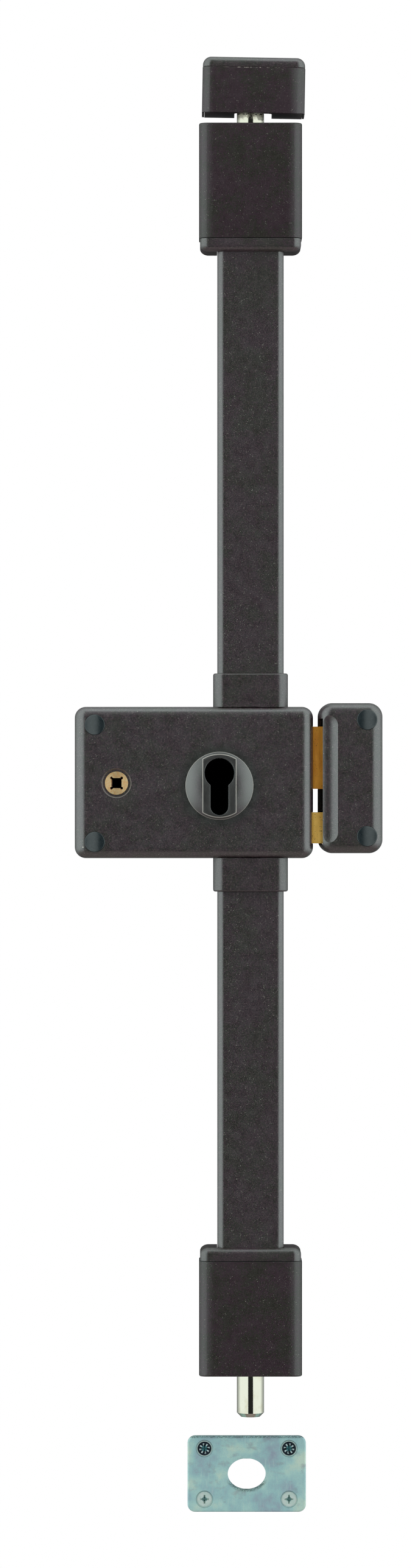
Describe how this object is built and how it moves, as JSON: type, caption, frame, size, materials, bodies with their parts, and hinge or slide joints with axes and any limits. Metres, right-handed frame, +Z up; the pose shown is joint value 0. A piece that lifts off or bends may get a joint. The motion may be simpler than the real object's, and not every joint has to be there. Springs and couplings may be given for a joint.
{
  "type": "surface mounted multipoint lock",
  "caption": "Surface-mounted multipoint lock with a profile cylinder hole, dead bolt, latch and covered shoot rods to the top and bottom, with its strike box and keepers.",
  "frame": {"origin": "the axis of the round part of the profile cylinder hole, in the plane of the door leaf", "axes": "+Z up along the rods, -Y out of the door towards the viewer, +X towards the strike box"},
  "size_m": [0.1808, 0.0522, 0.8582],
  "materials": {
    "brown_paint": "satin",
    "brown_plastic": "satin",
    "cap_plastic": "satin",
    "bolt_brass": "satin",
    "latch_brass": "satin",
    "hub_brass": "satin",
    "plain_steel": "brushed",
    "zinc_steel": "satin",
    "nickel": "polished"
  },
  "bodies": {
    "lock_body": {"lock_case": "brown_paint", "back_plate": "zinc_steel", "case_pillars": "plain_steel", "case_screw_caps": "cap_plastic", "cylinder_rosette": "brown_paint", "detent_blade": "plain_steel", "bolt_guide_studs": "plain_steel", "latch_spring_post": "plain_steel", "latch_spring": "plain_steel", "strike_box": "brown_paint", "strike_base": "zinc_steel", "strike_pillars": "plain_steel", "strike_screw_caps": "cap_plastic", "upper_keeper_bracket": "brown_paint", "upper_keeper_cover": "brown_paint", "upper_keeper_cap": "brown_plastic", "floor_keeper_plate": "zinc_steel", "floor_keeper_screws": "zinc_steel", "upper_sleeve": "brown_plastic", "upper_rod_cover": "brown_paint", "upper_guide_bracket": "zinc_steel", "upper_guide_cover": "brown_paint", "upper_end_cap": "brown_plastic", "lower_sleeve": "brown_plastic", "lower_rod_cover": "brown_paint", "lower_guide_bracket": "zinc_steel", "lower_guide_cover": "brown_paint", "lower_end_cap": "brown_plastic"},
    "dead_bolt": {"dead_bolt_head": "bolt_brass", "dead_bolt_plate": "plain_steel", "dead_bolt_rivets": "plain_steel"},
    "latch": {"latch_head": "latch_brass", "latch_tail": "plain_steel", "latch_pin": "plain_steel"},
    "handle_follower": {"follower": "hub_brass"},
    "upper_rod": {"upper_rod_bar": "plain_steel", "upper_drive_pin": "plain_steel", "upper_joint_pin": "plain_steel", "upper_shoot_bolt": "nickel"},
    "lower_rod": {"lower_rod_bar": "plain_steel", "lower_drive_pin": "plain_steel", "lower_joint_pin": "plain_steel", "lower_shoot_bolt": "nickel"}
  },
  "joints": [
    {"name": "dead_bolt_slide", "type": "slide", "parent": "lock_body", "child": "dead_bolt", "axis": [1, 0, 0], "range_m": [-0.02, 0], "deforming": ["detent_blade"]},
    {"name": "upper_rod_slide", "type": "slide", "parent": "lock_body", "child": "upper_rod", "axis": [0, 0, 1], "range_m": [-0.02, 0]},
    {"name": "lower_rod_slide", "type": "slide", "parent": "lock_body", "child": "lower_rod", "axis": [0, 0, -1], "range_m": [-0.02, 0]},
    {"name": "handle_turn", "type": "hinge", "parent": "lock_body", "child": "handle_follower", "pos_m": [-0.0604, 0, -0.0059], "axis": [0, 1, 0], "range_deg": [0, 28.65], "stiffness_Nm_per_rad": 0.03, "springref_deg": -22.92},
    {"name": "latch_slide", "type": "slide", "parent": "lock_body", "child": "latch", "axis": [-1, 0, 0], "range_m": [0, 0.012], "deforming": ["latch_spring"]}
  ],
  "couplings": [
    {"joint": "upper_rod_slide", "follows": "dead_bolt_slide", "ratio": 1},
    {"joint": "lower_rod_slide", "follows": "dead_bolt_slide", "ratio": 1},
    {"joint": "handle_turn", "follows": "latch_slide", "rad_per_m": 41.667}
  ]
}
